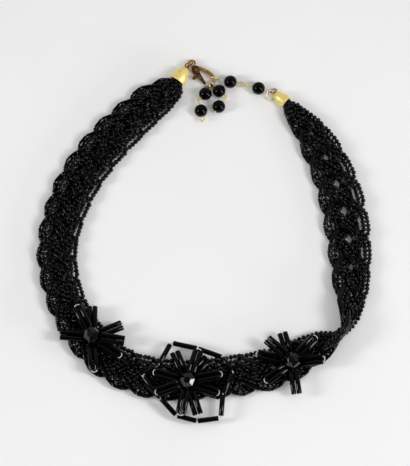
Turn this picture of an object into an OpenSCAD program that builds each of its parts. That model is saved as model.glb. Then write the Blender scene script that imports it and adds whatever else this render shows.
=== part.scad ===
// Beaded choker lying on a surface: a flat braid of four bead ribbons held in two metal
// end caps, with a lobster clasp, an extender of round beads, and three bugle flowers.
// Millimetres, +Z up, the surface at z = 0, the flowers towards -Y and the clasp towards +Y.

/* [Braid] */
// Width of the flat braid over its outer beads
braid_w = 21; // [20:0.5:22]
// Length along the braid in which a ribbon crosses to the far edge and back
braid_pitch = 43.4; // [40:0.2:48]
// The same length on the right arm, where the braid is looser
loose_pitch = 54; // [50:0.5:58]
// Width of one ribbon of strands
ribbon_w = 6; // [5:0.1:6.4]
// Thickness of one ribbon
ribbon_t = 1.5; // [1:0.1:1.6]
// How far a ribbon rises or sinks from the braid's middle at a crossing
ribbon_rise = 1.85; // [1.75:0.05:2]
// Distance between two sections along a ribbon
ribbon_step = 1.95; // [1.6:0.05:3]

/* [End caps] */
// Length of the left cap
left_cap_l = 7.4; // [6:0.1:9]
// Radius of the left cap's mouth
left_cap_r = 3.55; // [3.4:0.05:4]
// Length of the right cap
right_cap_l = 6.6; // [6:0.1:8]
// Radius of the right cap's mouth
right_cap_r = 2.95; // [2.9:0.05:3.4]
// Thickness of the cap's sheet metal
cap_wall = 0.4; // [0.3:0.05:0.5]

/* [Clasp] */
// Distance from the tail ring's middle to the middle of the hook's bend
hook_reach = 10.4; // [10:0.1:10.8]
// Radius of the bend of the hook
hook_bend_r = 3.4; // [3.2:0.1:3.5]
// Radius of the hook's rod
hook_rod_r = 0.8; // [0.7:0.05:0.8]
// Full height of the clasp's head
head_h = 2.6; // [2.4:0.1:3]
// Thickness of the lever
lever_t = 1; // [0.8:0.05:1]
// Radius of the hinge pin
pin_r = 0.4; // [0.3:0.05:0.5]
// Radial clearance of the lever on the pin
pin_play = 0.05; // [0.03:0.01:0.1]

/* [Extender] */
// Diameter of the round beads
round_bead_d = 6; // [5:0.1:6]
// Diameter of the hole through a round bead
round_bead_hole_d = 1.3; // [1.1:0.1:1.6]
// Diameter of the wire of the eye pins
wire_d = 0.65; // [0.5:0.05:0.65]

/* [Flowers] */
// Diameter of a bugle bead
bugle_d = 2.4; // [2:0.05:2.4]
// Length of a bugle bead
bugle_l = 11; // [10:0.1:11]
// Diameter of the faceted bead in the middle of a flower
centre_bead_d = 8.2; // [7:0.1:8.2]
// Diameter of the thread that joins the bugle beads
thread_d = 0.5; // [0.3:0.05:0.6]

/* [Hidden] */
$fn = 32;
eps = 0.01;
outline_mid = [-0.10, -0.83];

// Route of the braid's middle line from inside the left cap, anticlockwise to the right cap.
// Columns: x, y, lift above lying flat, share of the full width, twist in degrees.
X = 0;
Y = 1;
LIFT = 2;
SHARE = 3;
TWIST = 4;
route = [
    [-11.0, 77.8, 1.75, 0.18, 0],
    [-12.7, 75.4, 1.5, 0.26, 0],
    [-15.3, 71.8, 1.10, 0.62, 0],
    [-22.4, 67.2, 0.35, 0.86, 0],
    [-29.8, 61.0, 0.10, 0.93, 0],
    [-43.5, 47.8, 0, 1.01, 0],
    [-55.3, 32.4, 0, 1.01, 0],
    [-63.6, 15.0, 0, 0.97, 0],
    [-68.0, -5.0, 0, 0.93, 0],
    [-65.1, -25.2, 0, 0.90, 0],
    [-56.8, -43.2, 0, 0.91, 0],
    [-43.5, -58.2, 0, 0.94, 0],
    [-25.1, -66.0, 0, 0.98, 0],
    [-5.0, -67.4, 0, 0.95, 0],
    [13.9, -65.3, 0, 0.98, 0],
    [32.2, -61.6, 0, 0.97, 0],
    [47.5, -54.4, 0, 0.86, 4],
    [56.5, -50.2, 0, 0.70, 28],
    [62.0, -46.8, 0, 0.57, 62],
    [65.4, -42.0, 0, 0.55, 98],
    [67.1, -35.5, 0, 0.62, 134],
    [67.6, -27.0, 0, 0.78, 162],
    [67.3, -10.0, 0, 0.97, 178],
    [65.2, 9.0, 0, 1.06, 180],
    [60.4, 28.7, 0, 1.00, 180],
    [52.3, 46.3, 0.1, 0.85, 180],
    [45.6, 55.8, 0.35, 0.61, 180],
    [40.8, 61.4, 0.75, 0.46, 180],
    [38.3, 65.0, 1.1, 0.19, 180],
    [36.3, 67.0, 1.2, 0.13, 180]
];
route_parts = 10;

// Shape of a ribbon: its spread at the middle and at the edges of the braid, how sharply
// it steps over and under, and how far its two sides are staggered along the braid.
spread_middle = 0.68;
spread_edge = 0.9;
step_sharpness = 2.6;
stagger_middle = 0.35;
stagger_side = 1.2;
ribbon_edge_share = 0.85;
ribbon_count = 4;
// Turn of the first ribbon at the left cap, and the angle by which the ribbons reach the outer
// edge late and the inner edge early, up to the half twist.
braid_phase = 30;
edge_lag = 10;
loose_from = 230;
twist_end = 290;

// Smooth curve through four rows of a table, at t between the second and the third.
function smooth_row(a, b, c, d, t) =
    0.5 * (2 * b + (c - a) * t + (2 * a - 5 * b + 4 * c - d) * t * t
        + (3 * b - a - 3 * c + d) * t * t * t);

function row(i) = route[max(0, min(len(route) - 1, i))];

path = concat(
    [for (i = [0:len(route) - 2]) for (j = [0:route_parts - 1])
        smooth_row(row(i - 1), row(i), row(i + 1), row(i + 2), j / route_parts)],
    [route[len(route) - 1]]
);

function plan_gap(a, b) = norm([b[X] - a[X], b[Y] - a[Y]]);

// Distance travelled along the path at each of its points.
travel = [for (i = 0, s = 0; i < len(path); s = s + (i < len(path) - 1
    ? plan_gap(path[i], path[i + 1]) : 0), i = i + 1) s];
braid_l = travel[len(travel) - 1];

function column(c) = [for (i = [0:len(path) - 1]) [travel[i], path[i][c]]];
path_x = column(X);
path_y = column(Y);
path_lift = column(LIFT);
path_share = column(SHARE);
path_twist = column(TWIST);

function heading(s) = atan2(
    lookup(s + 1, path_y) - lookup(s - 1, path_y),
    lookup(s + 1, path_x) - lookup(s - 1, path_x)
);

// Parts of the rise and the thickness that a ribbon keeps where the braid is drawn together.
rise_kept = 0.6;
thick_kept = 0.55;

function share_at(s) = lookup(s, path_share);
function drawn(s, kept) = kept + (1 - kept) * min(1, share_at(s));
function rise_at(s) = ribbon_rise * drawn(s, rise_kept);
function thick_at(s) = ribbon_t * drawn(s, thick_kept);

// Height of the braid's middle line, with its lowest bead on the surface.
function middle_z(s) =
    lookup(s, path_lift)
    + abs(sin(lookup(s, path_twist))) * braid_w * share_at(s) / 2
    + abs(cos(lookup(s, path_twist))) * (rise_at(s) + thick_at(s) / 2);

// Point at s along the braid, u outwards across it and v up from its middle, turned by the twist.
function braid_point(s, u, v) =
    let (a = heading(s), w = lookup(s, path_twist),
        across = u * cos(w) - v * sin(w), up = u * sin(w) + v * cos(w))
    [lookup(s, path_x) + across * sin(a), lookup(s, path_y) - across * cos(a), middle_z(s) + up];

function pitch_at(s) = s < loose_from ? braid_pitch : loose_pitch;
function turns_at(s) =
    min(s, loose_from) / braid_pitch + max(0, s - loose_from) / loose_pitch;
function lag_at(s) = lookup(s, [[loose_from, edge_lag], [twist_end, 0]]);

function tanh(x) = (exp(2 * x) - 1) / (exp(2 * x) + 1);

// Over-and-under wave: +1 on top and -1 below at the six crossings of a full turn, from
// its first, third and fifth harmonics.
harmonics = [0.2071, -0.7803, -0.4268];

function over_under(a) =
    tanh(step_sharpness * (harmonics * [cos(a), cos(3 * a), cos(5 * a)])) / tanh(step_sharpness);

// Point of ribbon k at s, side from -1 to 1 across the ribbon and face -1 or 1 through it.
function ribbon_point(k, s, side, face) =
    let (
        even = 360 * (turns_at(s) + k / ribbon_count) + braid_phase,
        a = even - lag_at(s) * sin(even),
        rate = 360 / pitch_at(s) * (1 - lag_at(s) * PI / 180 * cos(even)),
        share = share_at(s),
        reach = share * (braid_w - ribbon_w * spread_edge) / 2,
        slope = reach * rate * PI / 180 * cos(a),
        run = sqrt(1 + slope * slope),
        spread = spread_middle + (spread_edge - spread_middle) * pow(sin(a), 2),
        d = side * share * spread * ribbon_w / 2,
        stagger = d * cos(a) * (stagger_middle + stagger_side * pow(sin(a), 2)),
        wave = over_under(a + rate * stagger),
        half_t = thick_at(s) / 2 * (abs(side) == 1 ? ribbon_edge_share : 1)
    )
    braid_point(s - d * slope / run, reach * sin(a) + d / run, rise_at(s) * wave + face * half_t);

section = [[-1, 1], [0, 1], [1, 1], [1, -1], [0, -1], [-1, -1]];
ribbon_end_gap = 1.2;

// Closed skin over rings of equally many points, with flat ends.
module skin(rings) {
    n = len(rings[0]);
    last = len(rings) - 1;
    sides = [for (i = [0:last - 1]) for (j = [0:n - 1]) each
        let (a = i * n + j, b = i * n + (j + 1) % n)
        [[a, b + n, b], [a, a + n, b + n]]];
    ends = [for (j = [1:n - 2]) each
        [[0, j, j + 1], [last * n, last * n + j + 1, last * n + j]]];
    polyhedron([for (ring = rings) each ring], concat(sides, ends));
}

module braid_ribbon(k) {
    count = round((braid_l - 2 * ribbon_end_gap) / ribbon_step);
    color("#17171c")
    skin([for (i = [0:count])
        let (s = ribbon_end_gap + (braid_l - 2 * ribbon_end_gap) * i / count)
        [for (p = section) ribbon_point(k, s, p[0], p[1])]]);
}

// End caps: the middle of the mouth and the plan angle towards the narrow end.
left_cap_at = [-12.6, 75.5];
left_cap_a = 55.3;
right_cap_at = [38.1, 65.5];
right_cap_a = 140.8;
cap_top_share = 0.36;
cap_roundness = 2.4;
cap_steps = 8;
cap_bore_r = 0.5;
cap_pin_head_r = 0.9;
cap_eye_r = 1.2;
cap_eye_stub = 0.45;
stem_share = 0.9;
lap = 0.15;
lap_share = 1.08;

function along(p, a, d) = [p[X] + d * cos(a), p[Y] + d * sin(a)];

// Radius of the bell at height h: wide at the mouth and rounded in to a narrow top.
function bell_r(h, length, mouth_r) =
    mouth_r * (cap_top_share + (1 - cap_top_share) * sqrt(1 - pow(h / length, cap_roundness)));

module bell(length, mouth_r) {
    inner_l = length - 2 * cap_wall;
    difference() {
        rotate_extrude() polygon(concat(
            [[0, length]],
            [for (i = [0:cap_steps]) let (h = length * (1 - i / cap_steps))
                [bell_r(h, length, mouth_r), h]],
            [for (i = [0:cap_steps]) let (h = inner_l * i / cap_steps)
                [bell_r(h, inner_l, mouth_r - cap_wall), h]],
            [[0, inner_l]]
        ));
        translate([0, 0, inner_l - eps]) cylinder(r = cap_bore_r, h = length);
    }
}

module end_cap(at, angle, length, mouth_r) {
    color("#e6c25f")
    translate([at[X], at[Y], mouth_r]) rotate([0, 90, angle]) bell(length, mouth_r);
}

// Straight round rod between two points in space.
module rod(a, b, r) {
    d = b - a;
    translate(a) rotate([0, acos(d[2] / norm(d)), atan2(d[1], d[0])]) cylinder(r = r, h = norm(d));
}

// Point at distance d from a towards b.
function towards(a, b, d) = a + (b - a) * d / norm(b - a);

// Straight wire that laps over the end of a curved one by a little, a touch thicker.
module lapped_wire(r, length) {
    translate([-lap, 0, 0]) rotate([0, 90, 0]) cylinder(r = r * lap_share, h = length + lap);
}

module ring(r, wire_r) {
    rotate_extrude() translate([r, 0]) circle(wire_r);
}

// Point on a cap's axis at distance d from its mouth.
function cap_point(at, angle, mouth_r, d) = let (p = along(at, angle, d)) [p[X], p[Y], mouth_r];

left_eye_c = cap_point(
    left_cap_at, left_cap_a, left_cap_r, left_cap_l + cap_eye_stub + cap_eye_r);
left_pin_c = cap_point(left_cap_at, left_cap_a, left_cap_r, left_cap_l - 4 * cap_wall);

module left_loop_and_pin() {
    color("#c9a24a") {
        translate(left_eye_c) rotate([0, 0, left_cap_a]) ring(cap_eye_r, wire_d / 2);
        rod(towards(left_eye_c, left_pin_c, cap_eye_r), left_pin_c, wire_d / 2 * stem_share);
        translate(left_pin_c) rotate([0, 90, left_cap_a])
        cylinder(r = cap_pin_head_r, h = wire_d, center = true);
    }
}

// Lobster clasp. Its own frame starts at the middle of the tail ring, with the hook along +X.
clasp_at = [-5.6, 84.6, 1.7];
clasp_a = -52.9;
tail_ring_r = 1.45;
tail_wire_r = 0.45;
neck_r = 0.7;
hook_side = 0.6;
hook_start_a = 119;
hook_tip_a = -55;
hook_arm_l = 6;
hinge_x = 3.6;
hinge_y = -0.5;
head_r = 1.9;
lever_gap = 0.12;
boss_r = 1.15;
lever_tip_x = 11.35;
lever_tip_y = -1.05;
lever_root_w = 1.7;
lever_tip_w = 1;
knob_x = 6.2;
knob_y = -3.5;
knob_r = 0.8;
knob_h = 1.5;
knob_neck_w = 1.2;
knob_root_w = 1.8;

module in_clasp() {
    translate(clasp_at) rotate([0, 0, clasp_a]) children();
}

module clasp_body() {
    color("#8a6a3a")
    in_clasp() difference() {
        union() {
            ring(tail_ring_r, tail_wire_r);
            rod([tail_ring_r, 0, 0], [hinge_x, 0, 0], neck_r);
            translate([hinge_x, hinge_y, -head_h / 2]) cylinder(r = head_r, h = head_h);
            translate([hook_reach, hook_side, 0]) {
                rotate([0, 0, hook_tip_a]) rotate_extrude(angle = hook_start_a - hook_tip_a)
                translate([hook_bend_r, 0]) circle(hook_rod_r);
                rotate([0, 0, hook_start_a]) translate([hook_bend_r, 0, 0]) rotate([0, 0, 90])
                lapped_wire(hook_rod_r, hook_arm_l);
            }
        }
        translate([hinge_x, hinge_y, 0])
        cylinder(r = boss_r + lever_gap, h = lever_t + 2 * lever_gap, center = true);
        translate([hinge_x, hinge_y - boss_r - lever_gap, -lever_t / 2 - lever_gap])
        cube([2 * head_r, 2 * boss_r + lever_gap, lever_t + 2 * lever_gap]);
        translate([hinge_x, hinge_y - 2 * head_r, -lever_t / 2 - lever_gap])
        cube([2 * head_r, 2 * head_r, lever_t + 2 * lever_gap]);
        translate([hinge_x, hinge_y, -head_h]) cylinder(r = pin_r, h = 2 * head_h);
    }
}

module clasp_pin() {
    color("#6f5530")
    in_clasp() translate([hinge_x, hinge_y, -head_h / 2]) cylinder(r = pin_r, h = head_h);
}

module clasp_lever() {
    color("#a8884c")
    in_clasp() difference() {
        union() {
            translate([0, 0, -lever_t / 2]) linear_extrude(lever_t) {
                translate([hinge_x, hinge_y]) circle(boss_r);
                translate([lever_tip_x, lever_tip_y]) circle(lever_tip_w / 2);
                polygon([
                    [hinge_x, hinge_y + lever_root_w / 2], [lever_tip_x, lever_tip_y + lever_tip_w / 2],
                    [lever_tip_x, lever_tip_y - lever_tip_w / 2], [hinge_x, hinge_y - lever_root_w / 2]
                ]);
                polygon([
                    [knob_x - knob_root_w / 2, lever_tip_y], [knob_x + knob_root_w / 2, lever_tip_y],
                    [knob_x + knob_neck_w / 2, knob_y], [knob_x - knob_neck_w / 2, knob_y]
                ]);
            }
            translate([knob_x, knob_y, 0]) cylinder(r = knob_r, h = knob_h, center = true);
        }
        translate([hinge_x, hinge_y, -head_h]) cylinder(r = pin_r + pin_play, h = 2 * head_h);
    }
}

// Ring that joins the left cap's loop to the clasp's tail ring, upright between the two.
jump_ring_r = 1.8;

module clasp_jump_ring() {
    d = clasp_at - left_eye_c;
    color("#c9a24a")
    translate(left_eye_c + d / 2) rotate([0, 0, atan2(d[Y], d[X])]) rotate([90, 0, 0])
    ring(jump_ring_r, wire_d / 2);
}

// Extender. Each row is a bead on an eye pin: the bead's middle, the plan angle of its hole,
// then the eye towards that angle and the eye at the other end. An eye is its middle, radius,
// straight stretch and whether it stands upright; a radius of 0 is a plain wire end.
BEAD = 0;
HOLE_A = 1;
NEAR_EYE = 2;
FAR_EYE = 3;
EYE_AT = 0;
EYE_R = 1;
EYE_STRAIGHT = 2;
EYE_UPRIGHT = 3;
bead_z = 3;
extender = [
    [[25.2, 72.3, bead_z], 166,
        [[20.5, 73.4, 3.1], 1.2, 0, true], [[31.02, 69.31, 1.57], 1.95, 0.7, false]],
    [[12.2, 75.4, bead_z], 170, [[4.5, 77.4, 1.8], 1.25, 0.8, true], [[18.0, 74.1, 3.2], 0.85, 2.9, false]],
    [[7.0, 71.0, bead_z], 130, [[3.9, 74.66, 1.8], 1.25, 0, true], [[9.77, 67.73, 3], 0.85, 0, false]],
    [[6.85, 63.5, bead_z], 55, [[9.32, 67.02, 3], 0.85, 0, true], [[4.7, 60.5, 3], 0, 0, false]],
    [[0.6, 69.6, bead_z], 45, [[2.64, 73.6, 1.8], 1.25, 0, true], [[-2.45, 66.55, 3], 0.85, 0, false]],
    [[-1.45, 61.5, bead_z], 101, [[-2.3, 65.75, 3], 0.85, 0, true], [[-0.62, 57.2, 3], 0.85, 0, false]]
];

module extender_bead(i) {
    link = extender[i];
    color("#121216")
    translate(link[BEAD]) rotate([0, 90, link[HOLE_A]]) difference() {
        sphere(round_bead_d / 2);
        cylinder(r = round_bead_hole_d / 2, h = 2 * round_bead_d, center = true);
    }
}

eye_close_a = 335;
eye_steps = 14;
wire_sides = 8;
// Any direction that no wire sets out along
wire_up = [0.1, 0.2, 1];

function unit(v) = v / norm(v);

// Points round an eye, from the place where its wire leaves for the bead back to that place.
function eye_route(out, eye) =
    let (
        c = eye[EYE_AT],
        r = eye[EYE_R],
        half = eye[EYE_STRAIGHT] / 2,
        x = unit(out - c),
        flat = unit(cross([0, 0, 1], x)),
        y = eye[EYE_UPRIGHT] ? cross(x, flat) : flat
    )
    r == 0 ? [c] : [for (i = [0:eye_steps])
        let (a = eye_close_a * i / eye_steps, stretch = cos(a) > 0 ? half : -half)
        c + (r * cos(a) + stretch) * x + r * sin(a) * y];

function reversed(list) = [for (i = [len(list) - 1:-1:0]) list[i]];

// Rings of points round a wire that follows a route, kept from twisting.
function wire_rings(points, r) =
    let (
        n = len(points),
        dirs = [for (i = [0:n - 1]) unit(points[min(n - 1, i + 1)] - points[max(0, i - 1)])],
        ups = [for (i = 0, u = wire_up; i < n; i = i + 1,
            u = i < n ? u - dirs[i] * (u * dirs[i]) : u) unit(u - dirs[i] * (u * dirs[i]))]
    )
    [for (i = [0:n - 1]) [for (j = [0:wire_sides - 1])
        let (a = 360 * j / wire_sides)
        points[i] + r * (cos(a) * ups[i] + sin(a) * cross(dirs[i], ups[i]))]];

// Wire from near to far with an eye at each end.
module eye_pin(near, near_eye, far, far_eye) {
    skin(wire_rings(concat(
        reversed(eye_route(near, near_eye)), [near, far], eye_route(far, far_eye)
    ), wire_d / 2));
}

module extender_wire(i) {
    link = extender[i];
    half = (round_bead_d + wire_d) / 2;
    a = along(link[BEAD], link[HOLE_A], half);
    b = along(link[BEAD], link[HOLE_A], -half);
    color("#d9c08a")
    eye_pin([a[X], a[Y], bead_z], link[NEAR_EYE], [b[X], b[Y], bead_z], link[FAR_EYE]);
}

// Eye pin of the right cap: a small eye inside holds it, and the outer one links the extender.
right_stub = 0.3;
right_inner_eye_d = 3.6;
right_inner_eye_r = 0.6;
right_outer_eye = [[32.2, 71.53, 1.36], 1.44, 0, false];

module right_loop_and_pin() {
    color("#a8763c")
    eye_pin(
        cap_point(right_cap_at, right_cap_a, right_cap_r, right_cap_l - 3 * cap_wall),
        [cap_point(right_cap_at, right_cap_a, right_cap_r, right_inner_eye_d), right_inner_eye_r, 0, true],
        cap_point(right_cap_at, right_cap_a, right_cap_r, right_cap_l + right_stub),
        right_outer_eye
    );
}

// Flowers. A petal is a pair of bugle beads on one thread. Columns: plan angle, distance of
// its inner end from the flower's middle, height of the inner end and height of the tip.
PETAL_A = 0;
PETAL_START = 1;
PETAL_Z = 2;
PETAL_TIP_Z = 3;
low_z = 6.4;
high_z = 8.9;
flower_bead_z = 9.9;
left_flower_at = [-51.7, -47.5];
left_petals = [
    [89, 3.6, low_z, 6.2],
    [23, 4.2, low_z, 5.6],
    [-9, 4.3, high_z, 8.2],
    [-34, 4.6, low_z, 6.3],
    [-86, 5.0, low_z, 6.6],
    [176, 3.6, low_z, 6.6],
    [116, 4.3, high_z, 9.4]
];
centre_flower_at = [-7.5, -68.8];
centre_petals = [
    [113, 4.4, low_z, 6.2],
    [71, 4.3, high_z, 8.2],
    [51, 3.6, low_z, 6.2],
    [12, 4.4, high_z, 8.4],
    [-21, 3.7, low_z, 6.4],
    [-73, 5.1, low_z, 6.2],
    [-102, 4.9, high_z, 7.9],
    [-158, 4.3, high_z, 9.2],
    [165, 4.8, low_z, 8.2]
];
right_flower_at = [40.5, -59.4];
right_petals = [
    [108, 3.6, low_z, 6.2],
    [138, 4.5, high_z, 8.3],
    [167, 5.2, low_z, 6.4],
    [-143, 3.9, low_z, 6.4],
    [-82, 4.2, low_z, 6.0],
    [3, 3.6, low_z, 9.0],
    [46, 4.3, high_z, 9.0]
];
bugle_gap = 0.12;

module flower_bead(at) {
    color("#101014")
    translate([at[X], at[Y], flower_bead_z]) difference() {
        sphere(centre_bead_d / 2);
        cylinder(r = thread_d, h = 2 * centre_bead_d, center = true);
    }
}

module petal(at, row) {
    rise = row[PETAL_TIP_Z] - row[PETAL_Z];
    apart = bugle_d / 2 + bugle_gap / 2;
    color("#14141a")
    translate([at[X], at[Y], row[PETAL_Z]]) rotate([0, 0, row[PETAL_A]])
    translate([row[PETAL_START], 0, 0]) rotate([0, -asin(rise / bugle_l), 0]) {
        for (side = [-1, 1])
            translate([0, side * apart, 0]) rotate([0, 90, 0]) cylinder(r = bugle_d / 2, h = bugle_l);
        translate([bugle_l - eps, 0, 0]) rotate([0, 0, -90])
        rotate_extrude(angle = 180) translate([apart, 0]) circle(thread_d / 2);
    }
}

// Frame of single bugle beads round the middle flower: corners x, y from the flower's middle, z.
frame_corners = [
    [-7.7, 18.8, 5.4], [4.5, 16.0, 5.6], [15.8, 11.7, 6.4], [20.9, 4.5, 6.5], [16.2, -5.9, 6.5],
    [15.2, -16.9, 5.4], [4.3, -18.2, 4.8], [-5.2, -15.8, 5.6], [-12.4, -7.9, 6.5],
    [-20.9, 2.8, 6.5], [-13.2, 8.3, 6.5]
];
frame_gap = 0.06;
frame_knot_r = 0.3;

function corner(i) = frame_corners[(i + len(frame_corners)) % len(frame_corners)];

// Angle by which the frame turns at corner i.
function turn_at(i) =
    let (a = corner(i) - corner(i - 1), b = corner(i + 1) - corner(i))
    acos(a * b / (norm(a) * norm(b)));

// Length that a bead keeps clear of corner i, so that neighbours' ends just miss each other.
function corner_room(i) = max(frame_knot_r, bugle_d / 2 * tan(turn_at(i) / 2)) + frame_gap;

module centre_frame() {
    color("#14141a")
    translate([centre_flower_at[X], centre_flower_at[Y], 0])
    for (i = [0:len(frame_corners) - 1]) {
        a = corner(i);
        b = corner(i + 1);
        translate(a) cylinder(r = frame_knot_r, h = 2 * frame_knot_r, center = true);
        rod(towards(a, b, thread_d / 2), towards(b, a, thread_d / 2), thread_d / 2);
        rod(towards(a, b, corner_room(i)), towards(b, a, corner_room(i + 1)), bugle_d / 2);
    }
}

module left_end_cap() end_cap(left_cap_at, left_cap_a, left_cap_l, left_cap_r);
module right_end_cap() end_cap(right_cap_at, right_cap_a, right_cap_l, right_cap_r);
module left_cap_loop() left_loop_and_pin();
module right_cap_loop() right_loop_and_pin();

module left_petal(i) petal(left_flower_at, left_petals[i]);
module centre_petal(i) petal(centre_flower_at, centre_petals[i]);
module right_petal(i) petal(right_flower_at, right_petals[i]);

// Moves the middle of the whole outline to x = 0 and y = 0.
module placed() translate([-outline_mid[X], -outline_mid[Y], 0]) children();

for (i = [0:ribbon_count - 1])
    placed() braid_ribbon(i);
placed() left_end_cap();
placed() right_end_cap();
placed() left_cap_loop();
placed() right_cap_loop();
placed() clasp_jump_ring();
placed() clasp_body();
placed() clasp_lever();
placed() clasp_pin();
for (i = [0:len(extender) - 1]) {
    placed() extender_bead(i);
    placed() extender_wire(i);
}
placed() flower_bead(left_flower_at);  // left_flower_bead
placed() flower_bead(centre_flower_at);  // centre_flower_bead
placed() flower_bead(right_flower_at);  // right_flower_bead
for (i = [0:len(left_petals) - 1])
    placed() left_petal(i);
for (i = [0:len(centre_petals) - 1])
    placed() centre_petal(i);
for (i = [0:len(right_petals) - 1])
    placed() right_petal(i);
placed() centre_frame();
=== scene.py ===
# %% [markdown]
# # A beaded choker: braid of glass beads, bugle flowers, lobster clasp
# The real piece is sixteen strings of small black glass beads, gathered in four ribbons and
# plaited flat. Gold-coloured bell caps hold its two ends, a lobster clasp and a short chain of
# round beads close it, and three flowers of long bugle beads are sewn on at the front.
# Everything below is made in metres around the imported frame, and each cell makes one thing.

import math

import bmesh
import bpy
import numpy as np
from mathutils import Euler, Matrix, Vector


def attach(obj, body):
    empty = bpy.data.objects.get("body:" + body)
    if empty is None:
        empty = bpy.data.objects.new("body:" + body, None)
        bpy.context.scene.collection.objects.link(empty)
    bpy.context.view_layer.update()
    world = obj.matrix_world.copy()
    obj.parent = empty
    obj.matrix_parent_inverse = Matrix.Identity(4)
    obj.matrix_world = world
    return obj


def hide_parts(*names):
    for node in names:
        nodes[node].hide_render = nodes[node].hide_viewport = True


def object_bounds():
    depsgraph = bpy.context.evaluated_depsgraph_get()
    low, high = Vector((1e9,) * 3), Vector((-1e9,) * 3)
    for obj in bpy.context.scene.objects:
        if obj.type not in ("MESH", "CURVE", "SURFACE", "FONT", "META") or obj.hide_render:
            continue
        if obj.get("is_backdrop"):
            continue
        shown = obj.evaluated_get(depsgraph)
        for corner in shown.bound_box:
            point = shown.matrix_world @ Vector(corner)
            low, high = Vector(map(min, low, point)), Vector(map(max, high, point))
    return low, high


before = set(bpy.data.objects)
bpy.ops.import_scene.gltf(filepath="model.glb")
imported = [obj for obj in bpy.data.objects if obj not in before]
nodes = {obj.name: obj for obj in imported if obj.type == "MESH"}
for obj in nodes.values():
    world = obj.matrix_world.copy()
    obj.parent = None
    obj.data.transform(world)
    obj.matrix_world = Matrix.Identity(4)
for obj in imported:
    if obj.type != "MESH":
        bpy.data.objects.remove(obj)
cad_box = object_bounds()
MM = 0.001
print("frame:", len(nodes), "nodes, box", [[round(c / MM, 2) for c in corner] for corner in cad_box])

# %% [markdown]
# ## Camera first
# The photograph looks down steeply, 75 degrees above the table, and shows next to no
# perspective. A camera a few metres away with a very long lens gives the same flat view.
# The picture's middle is a point on the table, and the width of the view there is a length that
# can be read off the photograph once the bead size is known.

# %% Camera
CAMERA_RISE = math.radians(75)
CAMERA_AWAY = 6.0
SENSOR_W = 36
VIEW_W = 0.1892
LOOK_AT = Vector((0.00055, 0.0039, 0.0025))

camera_data = bpy.data.cameras.new("camera")
camera_data.sensor_fit = "HORIZONTAL"
camera_data.sensor_width = SENSOR_W
camera_data.lens = SENSOR_W * CAMERA_AWAY / VIEW_W
camera = bpy.data.objects.new("camera", camera_data)
bpy.context.scene.collection.objects.link(camera)
towards_camera = Vector((0, -math.cos(CAMERA_RISE), math.sin(CAMERA_RISE)))
camera.location = LOOK_AT + towards_camera * CAMERA_AWAY
camera.rotation_euler = (-towards_camera).to_track_quat("-Z", "Y").to_euler()
bpy.context.scene.camera = camera
print("camera: lens", round(camera_data.lens), "mm, view", round(VIEW_W / MM, 1), "mm wide")

# %% [markdown]
# ## Small helpers for materials
# A colour is written as the hex value that a colour picker shows. The shader wants linear light,
# so one function turns one into the other. A second function adds a node to a material, sets
# it and links it, which keeps each material below a short list of what it is made of.

# %% Material helpers
def linear(hex_colour):
    parts = [int(hex_colour[i:i + 2], 16) / 255 for i in (1, 3, 5)]
    return tuple(c / 12.92 if c <= 0.04045 else ((c + 0.055) / 1.055) ** 2.4 for c in parts) + (1,)


def add(material, kind, settings=None, values=None, links=None):
    node = material.node_tree.nodes.new("ShaderNode" + kind)
    for name, value in (settings or {}).items():
        setattr(node, name, value)
    for name, value in (values or {}).items():
        node.inputs[name].default_value = value
    for name, source in (links or {}).items():
        other, output = source
        material.node_tree.links.new(other.outputs[output], node.inputs[name])
    return node


def join(material, source, output, target, name):
    material.node_tree.links.new(source.outputs[output], target.inputs[name])


def blank(name):
    material = bpy.data.materials.new(name)
    material.use_nodes = True
    surface = material.node_tree.nodes["Principled BSDF"]
    return material, surface


GLASS_IOR = 1.52
print("helpers ready; black glass starts from", [round(c, 4) for c in linear("#0A0A0D")[:3]])

# %% [markdown]
# ## Black glass
# All the beads are jet: opaque black pressed or drawn glass. Its colour is next to nothing, and
# the eye sees it by its reflections: a broad dim one on a seed bead that was tumbled in the fire,
# and a long thin one on a bugle. So each glass here is the same near-black with its own
# roughness, a little unevenness of the skin, and a tone that changes from bead to bead, which
# comes from a number stored on each bead when it is made.

# %% Black glass materials
TONE = "bead_tone"


def black_glass(name, dark, light, polish, rough_low, rough_high, wave_mm, bump):
    material, surface = blank(name)
    surface.inputs["IOR"].default_value = GLASS_IOR
    surface.inputs["Specular IOR Level"].default_value = polish
    tone = add(material, "Attribute", {"attribute_name": TONE})
    colour = add(material, "ValToRGB", links={"Fac": (tone, "Fac")})
    colour.color_ramp.elements[0].color = linear(dark)
    colour.color_ramp.elements[1].color = linear(light)
    join(material, colour, "Color", surface, "Base Color")
    place = add(material, "TexCoord")
    skin = add(material, "TexNoise", values={"Scale": 1 / (wave_mm * MM), "Detail": 3.0},
               links={"Vector": (place, "Object")})
    mixed = add(material, "Math", {"operation": "ADD"}, links={0: (tone, "Fac"), 1: (skin, "Fac")})
    rough = add(material, "MapRange", values={"From Min": 0.4, "From Max": 1.6, "To Min": rough_low,
                                              "To Max": rough_high}, links={"Value": (mixed, "Value")})
    join(material, rough, "Result", surface, "Roughness")
    relief = add(material, "Bump", values={"Strength": bump, "Distance": 0.02 * MM},
                 links={"Height": (skin, "Fac")})
    join(material, relief, "Normal", surface, "Normal")
    return material


# Seed bead: tumbled in the fire, so round and glossy, but a little wavy; dust dulls some.
jet_seed_glass = black_glass("jet_seed_glass", "#010102", "#050507", 0.22, 0.10, 0.26, 0.9, 0.3)
# Tube bead: drawn cane cut in short lengths, with a straight glossy skin.
jet_tube_glass = black_glass("jet_tube_glass", "#010102", "#040406", 0.22, 0.08, 0.22, 1.6, 0.2)
# Bugle: the same cane, thicker and longer, so its thin highlight runs the whole length.
jet_bugle_glass = black_glass("jet_bugle_glass", "#010102", "#020203", 0.2, 0.05, 0.10, 2.5, 0.03)
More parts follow.
